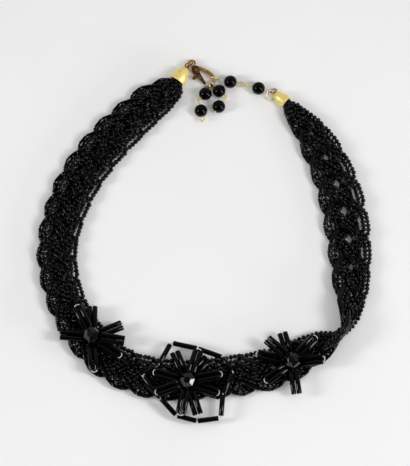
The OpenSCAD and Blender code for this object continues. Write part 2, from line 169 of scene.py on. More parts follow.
# Round bead: pressed and then polished, the smoothest of all.
jet_round_glass = black_glass("jet_round_glass", "#020203", "#040406", 0.13, 0.08, 0.16, 2.0, 0.1)
# Faceted bead: ground flats with a hard mirror gloss.
jet_faceted_glass = black_glass("jet_faceted_glass", "#020203", "#050507", 0.5, 0.03, 0.08, 2.0, 0.06)
print("five black glasses")

# %% [markdown]
# ## Metals and thread
# The caps are thin stamped brass with a bright yellow gold wash. The clasp is cast and plated to
# look old: brown-gold, with a dark stain left in its hollows. The wires of the extender are a
# paler gold, and the loop at the right cap has gone to bronze. The thread is clear nylon, which
# shows as a bright white arc where it leaves a bugle and as nothing at all elsewhere; that white
# is a painted highlight, since the thread's colour is painted near white all over.

# %% Metal and thread materials
def plated(name, bright, stained, stain_mm, stain_from, stain_to, rough_low, rough_high, scratch,
           metal=1.0):
    material, surface = blank(name)
    surface.inputs["Metallic"].default_value = metal
    place = add(material, "TexCoord")
    cloud = add(material, "TexNoise", values={"Scale": 1 / (stain_mm * MM), "Detail": 5.0,
                                              "Roughness": 0.6}, links={"Vector": (place, "Object")})
    amount = add(material, "MapRange", values={"From Min": stain_from, "From Max": stain_to},
                 links={"Value": (cloud, "Fac")})
    colour = add(material, "ValToRGB", links={"Fac": (amount, "Result")})
    colour.color_ramp.elements[0].color = linear(bright)
    colour.color_ramp.elements[1].color = linear(stained)
    join(material, colour, "Color", surface, "Base Color")
    rough = add(material, "MapRange", values={"To Min": rough_low, "To Max": rough_high},
                links={"Value": (amount, "Result")})
    join(material, rough, "Result", surface, "Roughness")
    grain = add(material, "TexNoise", values={"Scale": 1 / (0.25 * MM), "Detail": 2.0},
                links={"Vector": (place, "Object")})
    relief = add(material, "Bump", values={"Strength": scratch, "Distance": 0.01 * MM},
                 links={"Height": (grain, "Fac")})
    join(material, relief, "Normal", surface, "Normal")
    return material


# Gold wash over stamped brass, lacquered: pale yellow and satin, duller where fingers reach it.
gold_washed_brass = plated("gold_washed_brass", "#FFE893", "#EBC866", 2.2, 0.45, 0.75, 0.34, 0.5, 0.25,
                           metal=0.4)
# Antique plating: brown-gold on the worn ridges, nearly black-brown in the hollows.
antique_brass = plated("antique_brass", "#D0A666", "#5A3A22", 1.3, 0.42, 0.68, 0.26, 0.5, 0.1, metal=0.7)
# The same plating on the head and lever, where the dark stain was never rubbed off.
dark_antique_brass = plated("dark_antique_brass", "#7E5230", "#38220F", 1.3, 0.38, 0.62, 0.3, 0.5, 0.1,
                            metal=0.7)
# Pale gold wire: bright drawn wire with a thin plating.
pale_gold_wire = plated("pale_gold_wire", "#F6E8B4", "#DFC680", 1.5, 0.45, 0.75, 0.28, 0.42, 0.05,
                        metal=0.55)
# Bronze: the plating has worn through to the red of the copper alloy.
worn_bronze_wire = plated("worn_bronze_wire", "#BC9A64", "#80603A", 1.0, 0.4, 0.7, 0.26, 0.42, 0.05,
                          metal=0.8)

glint_painted_nylon, nylon_surface = blank("clear_nylon_thread")
# Monofilament: clear, slightly milky and soft-edged. Its colour is painted near white all over,
# a painted highlight that stands in for the bright glints the clear thread shows.
nylon_surface.inputs["Base Color"].default_value = linear("#F1F1EC")
nylon_surface.inputs["IOR"].default_value = 1.53
nylon_surface.inputs["Transmission Weight"].default_value = 0.25
nylon_place = add(glint_painted_nylon, "TexCoord")
nylon_noise = add(glint_painted_nylon, "TexNoise", values={"Scale": 1 / (0.6 * MM)},
                  links={"Vector": (nylon_place, "Object")})
nylon_rough = add(glint_painted_nylon, "MapRange", values={"To Min": 0.12, "To Max": 0.35},
                  links={"Value": (nylon_noise, "Fac")})
join(glint_painted_nylon, nylon_rough, "Result", nylon_surface, "Roughness")

black_thread, thread_surface = blank("black_beading_thread")
# Beading thread: twisted black nylon with a dull sheen; it fills the holes between beads.
thread_surface.inputs["Base Color"].default_value = linear("#0B0B0D")
thread_place = add(black_thread, "TexCoord")
thread_twist = add(black_thread, "TexWave", values={"Scale": 1 / (0.3 * MM), "Distortion": 1.0},
                   links={"Vector": (thread_place, "Object")})
thread_rough = add(black_thread, "MapRange", values={"To Min": 0.5, "To Max": 0.8},
                   links={"Value": (thread_twist, "Fac")})
join(black_thread, thread_rough, "Result", thread_surface, "Roughness")
print("five metals and two threads")

# %% [markdown]
# ## Small helpers for meshes
# A string of beads is one bead made once and then copied in numbers: its points are an array,
# and every copy is that array turned, scaled and moved. All copies go into one mesh in a single
# step, which is far quicker than an object for each bead. The same helper takes any list of
# points and faces, so wires and caps use it too.

# %% Mesh helpers
def joined(name, parts, materials):
    """One mesh from parts: (points, faces, material index, tone for each point)."""
    points = np.concatenate([p[0] for p in parts])
    starts = np.cumsum([0] + [len(p[0]) for p in parts[:-1]])
    corners, totals, slots = [], [], []
    for (_, faces, slot, _), start in zip(parts, starts):
        for size in sorted({len(f) for f in faces}) if isinstance(faces, list) else [faces.shape[1]]:
            chosen = np.array([f for f in faces if len(f) == size]) if isinstance(faces, list) else faces
            corners.append((chosen + start).ravel())
            totals.append(np.full(len(chosen), size))
            slots.append(np.full(len(chosen), slot))
    corners, totals, slots = np.concatenate(corners), np.concatenate(totals), np.concatenate(slots)
    mesh = bpy.data.meshes.new(name)
    mesh.vertices.add(len(points))
    mesh.vertices.foreach_set("co", points.astype(np.float32).ravel())
    mesh.loops.add(len(corners))
    mesh.loops.foreach_set("vertex_index", corners.astype(np.int32))
    mesh.polygons.add(len(totals))
    mesh.polygons.foreach_set("loop_start", (np.cumsum(totals) - totals).astype(np.int32))
    mesh.polygons.foreach_set("material_index", slots.astype(np.int32))
    mesh.update(calc_edges=True)
    mesh.validate()
    mesh.shade_smooth()
    tones = np.concatenate([np.broadcast_to(p[3], len(p[0])) for p in parts])
    mesh.attributes.new(TONE, "FLOAT", "POINT").data.foreach_set("value", tones.astype(np.float32))
    for material in materials:
        mesh.materials.append(material)
    piece = bpy.data.objects.new(name, mesh)
    bpy.context.scene.collection.objects.link(piece)
    return piece


def keep(piece, body="choker", instead_of=()):
    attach(piece, body)
    if instead_of:
        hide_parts(*instead_of)
    triangles = sum(len(p.vertices) - 2 for p in piece.data.polygons)
    print(piece.name, "-", triangles, "triangles")
    return piece


HOLE_LIP = 0.35


def lathe(profile, sides):
    """A closed ring of (radius, height) points turned round the z axis: a bead with its hole."""
    turn = 2 * np.pi * np.arange(sides) / sides
    r, z = np.array(profile, float).T
    points = np.stack([np.outer(np.cos(turn), r), np.outer(np.sin(turn), r),
                       np.broadcast_to(z, (sides, len(z)))], axis=-1).reshape(-1, 3)
    n = len(profile)
    i, j = np.meshgrid(np.arange(sides), np.arange(n), indexing="ij")
    i2, j2 = (i + 1) % sides, (j + 1) % n
    faces = np.stack([i * n + j, i2 * n + j, i2 * n + j2, i * n + j2], axis=-1).reshape(-1, 4)
    return points, faces


def bead_profile(radius, hole, half_length, corner, steps=3):
    """Half of a bead cut through its hole: rounded outside, and a small lip where the hole opens."""
    lip = HOLE_LIP * corner
    arc = np.linspace(0, np.pi / 2, steps)
    top = [(radius - corner + corner * math.cos(a), half_length - corner + corner * math.sin(a))
           for a in arc]
    upper = top + [(hole + lip, half_length), (hole, half_length - lip)]
    return upper + [(r, -z) for r, z in reversed(upper)]


def frames_along(directions, spin):
    """Axes (x, y, z) for copies whose z axis looks along each direction, turned by spin."""
    z = directions / np.linalg.norm(directions, axis=1, keepdims=True)
    side = np.where(np.abs(z[:, 2:3]) < 0.9, np.array([[0.0, 0.0, 1.0]]), np.array([[1.0, 0.0, 0.0]]))
    x = np.cross(side, z)
    x /= np.linalg.norm(x, axis=1, keepdims=True)
    y = np.cross(z, x)
    c, s = np.cos(spin)[:, None], np.sin(spin)[:, None]
    return np.stack([c * x + s * y, c * y - s * x, z], axis=1)


def copies(points, faces, middles, axes, sizes):
    """Copies of one bead: sizes has a row (x, y, z) for each copy."""
    placed = np.einsum("kvi,kij->kvj", points[None] * sizes[:, None, :], axes) + middles[:, None, :]
    shift = (np.arange(len(middles)) * len(points))[:, None, None]
    return placed.reshape(-1, 3), (faces[None] + shift).reshape(-1, faces.shape[1])


rng = np.random.default_rng(16)
print("helpers ready")

# %% [markdown]
# ## The path of the braid
# The braid lies in a ring, with a half twist on the right arm, and is drawn together where it
# goes into its caps. The same rows steer the CAD ribbons: x, y, lift over the table, share of
# the full width, twist in degrees. A smooth curve through the rows gives the middle line, and
# a point of the braid is then said by three numbers: how far along, how far across, how high.

# %% Braid path
ROUTE = np.array([
    [-11.0, 77.8, 1.75, 0.18, 0], [-12.7, 75.4, 1.5, 0.26, 0], [-15.3, 71.8, 1.10, 0.62, 0],
    [-22.4, 67.2, 0.35, 0.86, 0], [-29.8, 61.0, 0.10, 0.93, 0], [-43.5, 47.8, 0, 1.01, 0],
    [-55.3, 32.4, 0, 1.01, 0], [-63.6, 15.0, 0, 0.97, 0], [-68.0, -5.0, 0, 0.93, 0],
    [-65.1, -25.2, 0, 0.90, 0], [-56.8, -43.2, 0, 0.91, 0], [-43.5, -58.2, 0, 0.94, 0],
    [-25.1, -66.0, 0, 0.98, 0], [-5.0, -67.4, 0, 0.95, 0], [13.9, -65.3, 0, 0.98, 0],
    [32.2, -61.6, 0, 0.97, 0], [47.5, -54.4, 0, 0.86, 4], [56.5, -50.2, 0, 0.70, 28],
    [62.0, -46.8, 0, 0.57, 62], [65.4, -42.0, 0, 0.55, 98], [67.1, -35.5, 0, 0.62, 134],
    [67.6, -27.0, 0, 0.78, 162], [67.3, -10.0, 0, 0.97, 178], [65.2, 9.0, 0, 1.06, 180],
    [60.4, 28.7, 0, 1.00, 180], [52.3, 46.3, 0.1, 0.85, 180], [45.6, 55.8, 0.35, 0.61, 180],
    [40.8, 61.4, 0.75, 0.46, 180], [38.3, 65.0, 1.1, 0.19, 180], [36.3, 67.0, 1.2, 0.13, 180],
])
OUTLINE_MIDDLE = np.array([-0.10, -0.83, 0])
ROUTE_PARTS = 10
BRAID_W = 21.0
BRAID_PITCH = 43.4
LOOSE_PITCH = 54.0
LOOSE_FROM = 230.0
TWIST_END = 290.0
FIRST_TURN = math.radians(30)
# A ribbon stays a little longer at the edge than a plain sine does.
EDGE_LAG = math.radians(20)
RIBBON_W = 5.8
SEED_R = 1.15
TUBE_R = 0.65
# How far a ribbon goes up and down to pass the others, and the share of it left in a cap.
STRAND_RISE = 1.5
RISE_IN_CAP = 0.6


def smooth(rows, parts):
    out = []
    for i in range(len(rows) - 1):
        a, b, c, d = (rows[min(max(k, 0), len(rows) - 1)] for k in (i - 1, i, i + 1, i + 2))
        t = (np.arange(parts) / parts)[:, None]
        out.append(0.5 * (2 * b + (c - a) * t + (2 * a - 5 * b + 4 * c - d) * t ** 2
                          + (3 * b - a - 3 * c + d) * t ** 3))
    return np.concatenate(out + [rows[-1:]])


path = smooth(ROUTE, ROUTE_PARTS)
travel = np.concatenate([[0], np.cumsum(np.hypot(*np.diff(path[:, :2], axis=0).T))])
BRAID_L = travel[-1]


def on_path(s, column):
    return np.interp(s, travel, path[:, column])


def rise_at(share):
    return STRAND_RISE * (RISE_IN_CAP + (1 - RISE_IN_CAP) * np.minimum(1, share))


def braid_point(s, u, v):
    """Points at s along the braid, u outwards across it and v up from its middle, in mm."""
    before = np.clip(s - 1, 0, BRAID_L)
    after = np.clip(s + 1, 0, BRAID_L)
    heading = np.arctan2(on_path(after, 1) - on_path(before, 1), on_path(after, 0) - on_path(before, 0))
    twist = np.radians(on_path(s, 4))
    share = on_path(s, 3)
    middle = (on_path(s, 2) + np.abs(np.sin(twist)) * BRAID_W * share / 2
              + np.abs(np.cos(twist)) * (rise_at(share) + SEED_R))
    across = u * np.cos(twist) - v * np.sin(twist)
    up = u * np.sin(twist) + v * np.cos(twist)
    return np.stack([on_path(s, 0) + across * np.sin(heading), on_path(s, 1) - across * np.cos(heading),
                     middle + up], axis=-1) - OUTLINE_MIDDLE


print("braid path:", round(BRAID_L, 1), "mm")

# %% [markdown]
# ## Plaiting the strands
# In a flat four-part plait each ribbon swings from edge to edge and goes over, under, over and
# under the others on its way. The swing is a sine, and the overs and unders are a wave with six
# crossings to a turn. On the right arm the plait is looser, so a swing there is longer. Each
# ribbon carries two strands of tubes on one side and two of seeds on the other. Strands can't
# share space, so after they are laid by formula they are let settle: points that are too close
# push each other apart a little, again and again, as beads do in the hand, while a weak pull
# keeps them in their ribbon.

# %% Strand layout
HARMONICS = (0.2071, -0.7803, -0.4268)
SHARPNESS = 2.6
RIBBONS = 4
STEP = 1.0
# Across the ribbon: (on the outer edge of the braid, in the middle, on the inner edge), height,
# and how long the strand keeps to the inner edge. The slack last strand runs along that edge
# nearly straight, so that side of the braid is a rope of seeds while the other is scalloped.
STRANDS = (
    ("tube", (2.1, 2.1, 3.5), 0.3, 1.0),
    ("tube", (0.9, 1.1, 2.8), -0.4, 1.0),
    ("seed", (-1.1, -0.3, 1.0), 0.2, 1.1),
    ("seed", (-3.0, -2.2, -1.7), -0.1, 1.2),
)
# Past the half twist the third strand lies further out, beside the last one, and that edge
# bulges and draws in again with every ribbon, because the plait is looser there.
LOOSE_SHIFT = -1.1
LOOSE_KEEP = 1.08
stations = np.arange(0, BRAID_L + 1e-6, STEP)


def over_under(a):
    wave = HARMONICS[0] * np.cos(a) + HARMONICS[1] * np.cos(3 * a) + HARMONICS[2] * np.cos(5 * a)
    return np.tanh(SHARPNESS * wave) / np.tanh(SHARPNESS)


def laid(ribbon, kind, offsets, lift, keep_out):
    keep_out = np.interp(stations, [LOOSE_FROM, TWIST_END], [keep_out, min(keep_out, LOOSE_KEEP)])
    loose = stations > LOOSE_FROM
    pitch = np.where(loose, LOOSE_PITCH, BRAID_PITCH)
    turns = np.minimum(stations, LOOSE_FROM) / BRAID_PITCH + np.clip(
        stations - LOOSE_FROM, 0, None) / LOOSE_PITCH
    even = 2 * np.pi * (turns + ribbon / RIBBONS) + FIRST_TURN
    lag = np.interp(stations, [LOOSE_FROM, TWIST_END], [EDGE_LAG, 0])
    a = even - lag * np.sin(even)
    rate = 2 * np.pi / pitch * (1 - lag * np.cos(even))
    share = on_path(stations, 3)
    reach = share * (BRAID_W - RIBBON_W) / 2
    side = np.sin(a)
    outer, middle, inner = offsets
    if kind == "seed" and inner > 0:
        inner = inner + np.interp(stations, [LOOSE_FROM, TWIST_END], [0, LOOSE_SHIFT])
    offset = middle + np.where(side > 0, (outer - middle) * side ** 2, (inner - middle) * side ** 2)
    slope = reach * rate * np.cos(a)
    drawn = np.minimum(1, share)
    u = reach * side + offset * drawn * np.sqrt(1 + slope ** 2) ** 0.5
    u = np.where(side < 0, np.maximum(u * keep_out, -reach + inner * drawn), u)
    lead = offset * np.cos(a) * 1.2
    v = rise_at(share) * over_under(a + rate * lead) + lift
    return np.stack([u, v], axis=-1)


kinds = [strand[0] for _ in range(RIBBONS) for strand in STRANDS]
target = np.stack([laid(k, *strand) for k in range(RIBBONS) for strand in STRANDS])
radius = np.array([SEED_R if kind == "seed" else TUBE_R for kind in kinds])
share = on_path(stations, 3)
# Where the braid is drawn in to its caps, the beads ride over each other more.
squeeze = 0.72 + 0.28 * np.clip((share - 0.3) / 0.5, 0, 1)
lowest = -rise_at(share)[None, :] - (SEED_R - radius)[:, None]
edge = np.maximum(BRAID_W * share[None, :] / 2 - radius[:, None], 0.3)
SETTLE_ROUNDS = 70
WINDOW = 2
# Two touching beads count as clear at this share of their reach. Each round moves a point a part
# of the way, evens out its neighbours and pulls it back to its ribbon.
TOUCHING = 0.96
PUSH = 0.25
EVEN_OUT = 0.22
HOLD = 0.96
strands = target.copy()
for _ in range(SETTLE_ROUNDS):
    push = np.zeros_like(strands)
    for a in range(len(kinds)):
        for b in range(a + 1, len(kinds)):
            need = (radius[a] + radius[b]) * TOUCHING
            for k in range(-WINDOW, WINDOW + 1):
                ia = slice(max(0, -k), len(stations) - max(0, k))
                ib = slice(max(0, k), len(stations) - max(0, -k))
                gap = strands[a, ia] - strands[b, ib]
                far = np.hypot(gap[:, 0], gap[:, 1])
                room = np.sqrt(np.maximum((need * squeeze[ia]) ** 2 - (k * STEP) ** 2, 0))
                short = np.clip(room - far, 0, None)
                if short.any():
                    move = gap / np.maximum(far, 0.05)[:, None] * (short * PUSH)[:, None]
                    push[a, ia] += move
                    push[b, ib] -= move
    shift = strands + push / 2 - target
    shift[:, 1:-1] += EVEN_OUT * (shift[:, :-2] + shift[:, 2:] - 2 * shift[:, 1:-1])
    strands = target + HOLD * shift
    strands[:, :, 0] = np.clip(strands[:, :, 0], -edge, edge)
    strands[:, :, 1] = np.clip(strands[:, :, 1], lowest, -lowest + 0.3)
print("settled: moved", round(float(np.abs(strands - target).mean()), 2), "mm on average")

# %% [markdown]
# ## Stringing the beads
# Along each settled strand the beads follow at a steady pitch, with small differences in size
# and seat, because stock beads are sorted by eye. A seed bead is a rounded ring nearly as long
# as wide; a tube bead is a straight piece of cane, so a strand of tubes takes a curve in short
# straight steps.

# %% Braid beads
SEED_PITCH = 2.12
TUBE_L = 4.9
TUBE_PITCH = 5.1
THREAD_R = 0.22
END_ROOM = 1.6
# How unevenly the seeds sit: along the thread, off it, and tipped, as standard deviations.
SEED_SLIP, SEED_OFF, SEED_TIP = 0.04, 0.05, 0.09
SEED_HALF_L = 0.96
SEED_ROUNDING = 0.95
TUBE_HOLE = 0.3
TUBE_ROUNDING = 0.16
seed_points, seed_faces = lathe(bead_profile(SEED_R, THREAD_R, SEED_HALF_L, SEED_ROUNDING, 4), 12)
tube_points, tube_faces = lathe(bead_profile(TUBE_R, TUBE_HOLE, TUBE_L / 2, TUBE_ROUNDING, 3), 10)


def strand_line(index):
    line = braid_point(stations, strands[index, :, 0], strands[index, :, 1])
    line[:, 2] = np.clip(line[:, 2], radius[index] + 0.05, cad_box[1][2] / MM - radius[index] - 0.05)
    along = np.concatenate([[0], np.cumsum(np.linalg.norm(np.diff(line, axis=0), axis=1))])
    return line, along


def at(line, along, t):
    return np.stack([np.interp(t, along, line[:, c]) for c in range(3)], axis=-1)


def seeds_on(line, along):
    t = np.arange(END_ROOM + rng.uniform(0, SEED_PITCH), along[-1] - END_ROOM, SEED_PITCH)
    t += rng.normal(0, SEED_SLIP, len(t))
    middles = at(line, along, t) + rng.normal(0, SEED_OFF, (len(t), 3))
    largest = 1.06 * SEED_R
    middles[:, 2] = np.clip(middles[:, 2], largest, cad_box[1][2] / MM - largest)
    directions = at(line, along, t + 0.9) - at(line, along, t - 0.9)
    directions += np.linalg.norm(directions, axis=1, keepdims=True) * rng.normal(0, SEED_TIP, (len(t), 3))
    axes = frames_along(directions, rng.uniform(0, 2 * np.pi, len(t)))
    wide = np.clip(rng.normal(1, 0.035, len(t)), 0.92, 1.05)
    long = np.clip(rng.normal(1, 0.06, len(t)), 0.85, 1.1)
    points, faces = copies(seed_points, seed_faces, middles, axes, np.stack([wide, wide, long], 1))
    return points * MM, faces, 0, np.repeat(rng.uniform(0, 1, len(t)), len(seed_points))


def tubes_on(line, along):
    t = np.arange(END_ROOM + rng.uniform(0, TUBE_PITCH), along[-1] - END_ROOM - TUBE_L, TUBE_PITCH)
    start, end = at(line, along, t), at(line, along, t + TUBE_L)
    axes = frames_along(end - start, rng.uniform(0, 2 * np.pi, len(t)))
    long = np.linalg.norm(end - start, axis=1) / TUBE_L * rng.uniform(0.975, 1.0, len(t))
    wide = rng.uniform(0.95, 1.03, len(t))
    points, faces = copies(tube_points, tube_faces, (start + end) / 2, axes,
                           np.stack([wide, wide, long], 1))
    return points * MM, faces, 1, np.repeat(rng.uniform(0, 1, len(t)), len(tube_points))


def swept(route, thickness, sides=8, closed=False, flat=None):
    """A wire along a route of points. thickness is one radius or one for each point."""
    route = np.asarray(route, float)
    n = len(route)
    after = np.roll(route, -1, axis=0) if closed else np.vstack([route[1:], route[-1:]])
    before = np.roll(route, 1, axis=0) if closed else np.vstack([route[:1], route[:-1]])
    forward = after - before
    forward /= np.linalg.norm(forward, axis=1, keepdims=True)
    up = np.array([0.1, 0.2, 1.0]) if flat is None else np.asarray(flat, float)
    ups = []
    for d in forward:
        up = up - d * (up @ d)
        up = up / np.linalg.norm(up)
        ups.append(up)
    ups = np.array(ups)
    turn = 2 * np.pi * np.arange(sides) / sides
    r = np.broadcast_to(np.asarray(thickness, float), (n,) if np.ndim(thickness) < 2 else (n, 2))
    ru, rs = (r, r) if r.ndim == 1 else (r[:, 0], r[:, 1])
    points = (route[:, None] + (ru[:, None] * np.cos(turn))[..., None] * ups[:, None]
              + (rs[:, None] * np.sin(turn))[..., None] * np.cross(forward, ups)[:, None])
    rings = n if closed else n - 1
    i, j = np.meshgrid(np.arange(rings), np.arange(sides), indexing="ij")
    i2, j2 = (i + 1) % n, (j + 1) % sides
    faces = np.stack([i * sides + j, i * sides + j2, i2 * sides + j2, i2 * sides + j], -1).reshape(-1, 4)
    faces = faces.tolist()
    if not closed:
        faces.append(list(range(sides))[::-1])
        faces.append([(n - 1) * sides + j for j in range(sides)])
    return points.reshape(-1, 3), faces


for k in range(RIBBONS):
    parts = []
    for index in range(k * len(STRANDS), (k + 1) * len(STRANDS)):
        line, along = strand_line(index)
        parts.append(seeds_on(line, along) if kinds[index] == "seed" else tubes_on(line, along))
        core = at(line, along, np.arange(0.3, along[-1] - 0.3, 2.0))
        points, faces = swept(core, THREAD_R, 5)
        parts.append((points * MM, faces, 2, 0.5))
    ribbon = joined(f"ribbon_{k + 1}_bead_strands", parts, [jet_seed_glass, jet_tube_glass, black_thread])
    keep(ribbon, instead_of=[f"braid_ribbon_{k + 1}"])

# %% [markdown]
# ## End caps
# A bell cap is stamped from thin sheet: wide mouth, rounded shoulders, a small hole at the top
# for the wire, and a rolled lip. It is a profile turned round an axis, outside and inside in one
# closed line, so the sheet has its real thickness and the mouth is hollow.

# %% End caps
CAP_WALL = 0.4
CAP_BORE = 0.5
CAP_TOP_SHARE = 0.36
CAP_ROUNDNESS = 2.4
caps = {
    "left": {"at": (-12.6, 75.5), "turn": 55.3, "length": 7.4, "mouth": 3.55},
    "right": {"at": (38.1, 65.5), "turn": 140.8, "length": 6.6, "mouth": 2.95},
}


def bell_radius(h, length, mouth):
    return mouth * (CAP_TOP_SHARE + (1 - CAP_TOP_SHARE) * np.sqrt(np.clip(
        1 - (h / length) ** CAP_ROUNDNESS, 0, 1)))


def axes_to(direction):
    return frames_along(np.array([direction], float), np.array([0.0]))[0]


def cap_point(cap, distance):
    turn = math.radians(cap["turn"])
    return np.array([cap["at"][0] + distance * math.cos(turn), cap["at"][1] + distance * math.sin(turn),
                     cap["mouth"]]) - OUTLINE_MIDDLE


for side, cap in caps.items():
    length, mouth = cap["length"], cap["mouth"]
    rise = length * np.sin(np.linspace(0, np.pi / 2, 18))
    outer = list(zip(bell_radius(rise, length, mouth), rise))
    outer = [(mouth - 0.12, 0.0), (mouth, 0.14)] + outer[1:]
    crown = [(0.62 * mouth * CAP_TOP_SHARE, length - 0.02), (CAP_BORE + 0.08, length - 0.05),
             (CAP_BORE, length - 0.16)]
    inner_length = length - CAP_WALL
    back = rise[::-1] * inner_length / length
    inner = [(max(r, CAP_BORE), h) for r, h in
             zip(bell_radius(back, inner_length, mouth - CAP_WALL), back)]
    inner = [(CAP_BORE, inner_length - 0.05)] + inner[1:-1] + [(mouth - CAP_WALL, 0.0)]
    points, faces = lathe((outer + crown + inner)[::-1], 48)
    points = points @ axes_to(cap_point(cap, 1) - cap_point(cap, 0)) + cap_point(cap, 0)
    piece = joined(f"{side}_bell_cap", [(points * MM, faces, 0, 0.5)], [gold_washed_brass])
    keep(piece, instead_of=[f"{side}_end_cap"])

# %% [markdown]
# ## Rings and eye pins
# Every link here is round wire, 0.65 mm thick, bent with pliers: an eye is nearly a full turn
# and leaves a small slit where it closes. A wire is a row of points with rings of points round
# it, carried along so that they don't twist. The points are closer together than in the CAD,
# which makes the eyes properly round.

# %% Wires
WIRE_R = 0.325
EYE_CLOSE = 340.0
EYE_STEPS = 40
ROUND_BEAD_R = 3.0
BEAD_Z = 3.0


def unit(v):
    return v / np.linalg.norm(v)


def eye_route(out, middle, r, straight, upright):
    middle = np.asarray(middle, float) - OUTLINE_MIDDLE
    if r == 0:
        return middle[None]
    x = unit(out - middle)
    level = unit(np.cross([0, 0, 1], x))
    y = np.cross(x, level) if upright else level
    a = np.radians(EYE_CLOSE) * np.arange(EYE_STEPS + 1) / EYE_STEPS
    # The straight stretch is eased in, so an eye with one is a teardrop and not two half rings.
    stretch = np.tanh(2.2 * np.cos(a)) * straight / 2
    return middle + (r * np.cos(a) + stretch)[:, None] * x + (r * np.sin(a))[:, None] * y


def eye_pin(near, near_eye, far, far_eye):
    route = np.concatenate([eye_route(near, *near_eye)[::-1], [near, far], eye_route(far, *far_eye)])
    return swept(route, WIRE_R, 10)


LINKS = (
    ((25.2, 72.3), 166, ((20.5, 73.4, 3.1), 1.2, 0, True), ((31.02, 69.31, 1.57), 1.95, 0.7, False)),
    ((12.2, 75.4), 170, ((4.5, 77.4, 1.8), 1.25, 0.8, True), ((18.0, 74.1, 3.2), 0.85, 2.9, False)),
    ((7.0, 71.0), 130, ((3.9, 74.66, 1.8), 1.25, 0, True), ((9.77, 67.73, 3), 0.85, 0, False)),
    ((6.85, 63.5), 55, ((9.32, 67.02, 3), 0.85, 0, True), ((4.7, 60.5, 3), 0, 0, False)),
    ((0.6, 69.6), 45, ((2.64, 73.6, 1.8), 1.25, 0, True), ((-2.45, 66.55, 3), 0.85, 0, False)),
    ((-1.45, 61.5), 101, ((-2.3, 65.75, 3), 0.85, 0, True), ((-0.62, 57.2, 3), 0.85, 0, False)),
)
for number, (middle, hole, near_eye, far_eye) in enumerate(LINKS, 1):
    bead = np.array([*middle, BEAD_Z]) - OUTLINE_MIDDLE
    aim = np.array([math.cos(math.radians(hole)), math.sin(math.radians(hole)), 0])
    half = ROUND_BEAD_R + WIRE_R
    points, faces = eye_pin(bead + aim * half, near_eye, bead - aim * half, far_eye)
    piece = joined(f"extender_eye_pin_{number}", [(points * MM, faces, 0, 0.5)], [pale_gold_wire])
    keep(piece, instead_of=[f"extender_wire_{number}"])

# %% Cap loops and jump ring
left, right = caps["left"], caps["right"]
EYE_STUB = 0.45
LEFT_EYE_R = 1.2
CLASP_AT = np.array([-5.6, 84.6, 1.7]) - OUTLINE_MIDDLE
left_eye = cap_point(left, left["length"] + EYE_STUB + LEFT_EYE_R)
left_out = cap_point(left, left["length"] + EYE_STUB * 0.4)
left_in = cap_point(left, left["length"] - 2 * CAP_WALL)
inner_eye = (tuple(cap_point(left, 4.4) + OUTLINE_MIDDLE), 0.6, 0, True)
points, faces = eye_pin(left_in, inner_eye, left_out,
                        (tuple(left_eye + OUTLINE_MIDDLE), LEFT_EYE_R, 0, False))
keep(joined("left_cap_eye_pin", [(points * MM, faces, 0, 0.5)], [worn_bronze_wire]),
     instead_of=["left_cap_loop"])
inner_eye = (tuple(cap_point(right, 3.6) + OUTLINE_MIDDLE), 0.6, 0, True)
points, faces = eye_pin(cap_point(right, right["length"] - 3 * CAP_WALL), inner_eye,
                        cap_point(right, right["length"] + 0.3), ((32.2, 71.53, 1.36), 1.44, 0, False))
keep(joined("right_cap_eye_pin", [(points * MM, faces, 0, 0.5)], [worn_bronze_wire]),
     instead_of=["right_cap_loop"])

JUMP_R = 1.8
across = CLASP_AT - left_eye
level = unit(np.array([across[0], across[1], 0]))
a = np.radians(np.linspace(8, 356, 56))
jump = ((left_eye + CLASP_AT) / 2 + JUMP_R * np.cos(a)[:, None] * level
        + JUMP_R * np.sin(a)[:, None] * np.array([0, 0, 1]))
points, faces = swept(jump, WIRE_R, 10)
keep(joined("clasp_open_jump_ring", [(points * MM, faces, 0, 0.5)], [worn_bronze_wire]),
     instead_of=["clasp_jump_ring"])

# %% [markdown]
# ## Round beads
# The six beads of the extender are 6 mm pressed glass balls. A ball with a hole is a half circle
# turned round the hole, with a small rounded lip where the hole opens.

# %% Round beads
HOLE_R = 0.65
lip = math.asin((HOLE_R + 0.16) / ROUND_BEAD_R)
ball = [(ROUND_BEAD_R * math.sin(t), ROUND_BEAD_R * math.cos(t))
        for t in np.linspace(lip, math.pi - lip, 30)]
top = ROUND_BEAD_R * math.cos(lip)
hole = [(HOLE_R + 0.04, -top + 0.05), (HOLE_R, -top + 0.2),
        (HOLE_R, top - 0.2), (HOLE_R + 0.04, top - 0.05)]
ball_points, ball_faces = lathe((ball + hole)[::-1], 40)
for number, (middle, hole_turn, _, _) in enumerate(LINKS, 1):
    bead = np.array([*middle, BEAD_Z]) - OUTLINE_MIDDLE
    aim = np.array([math.cos(math.radians(hole_turn)), math.sin(math.radians(hole_turn)), 0])
    points = ball_points @ axes_to(aim) + bead
    piece = joined(f"extender_round_bead_{number}", [(points * MM, ball_faces, 0, 0.3)], [jet_round_glass])
    keep(piece, instead_of=[f"extender_bead_{number}"])

# %% [markdown]
# ## Lobster clasp
# A lobster clasp is one small casting: a tail ring, a thick head that hides a coil spring, and an
# arm that runs out and hooks back. The arm is drawn here as one smooth swept form whose width
# and thickness swell and taper along it, which is how the casting flows. The lever is a thin
# blade on a pin in the head, with a thumb knob, and closes the mouth from inside the tip.

# %% Clasp body
CLASP_TURN = math.radians(-52.9)
CLASP_X = np.array([math.cos(CLASP_TURN), math.sin(CLASP_TURN), 0])
CLASP_Y = np.array([-math.sin(CLASP_TURN), math.cos(CLASP_TURN), 0])
HINGE = (3.6, -0.5)
HOOK_MIDDLE = (10.4, 0.6)
HOOK_R = 3.4


def in_clasp(points):
    points = np.asarray(points, float)
    return CLASP_AT + points @ np.array([CLASP_X, CLASP_Y, (0, 0, 1)])


tail = np.radians(np.linspace(0, 360, 40, endpoint=False))
ring_route = np.stack([1.45 * np.cos(tail), 1.45 * np.sin(tail), 0 * tail], 1)
ring_points, ring_faces = swept(in_clasp(ring_route), 0.45, 12, closed=True)
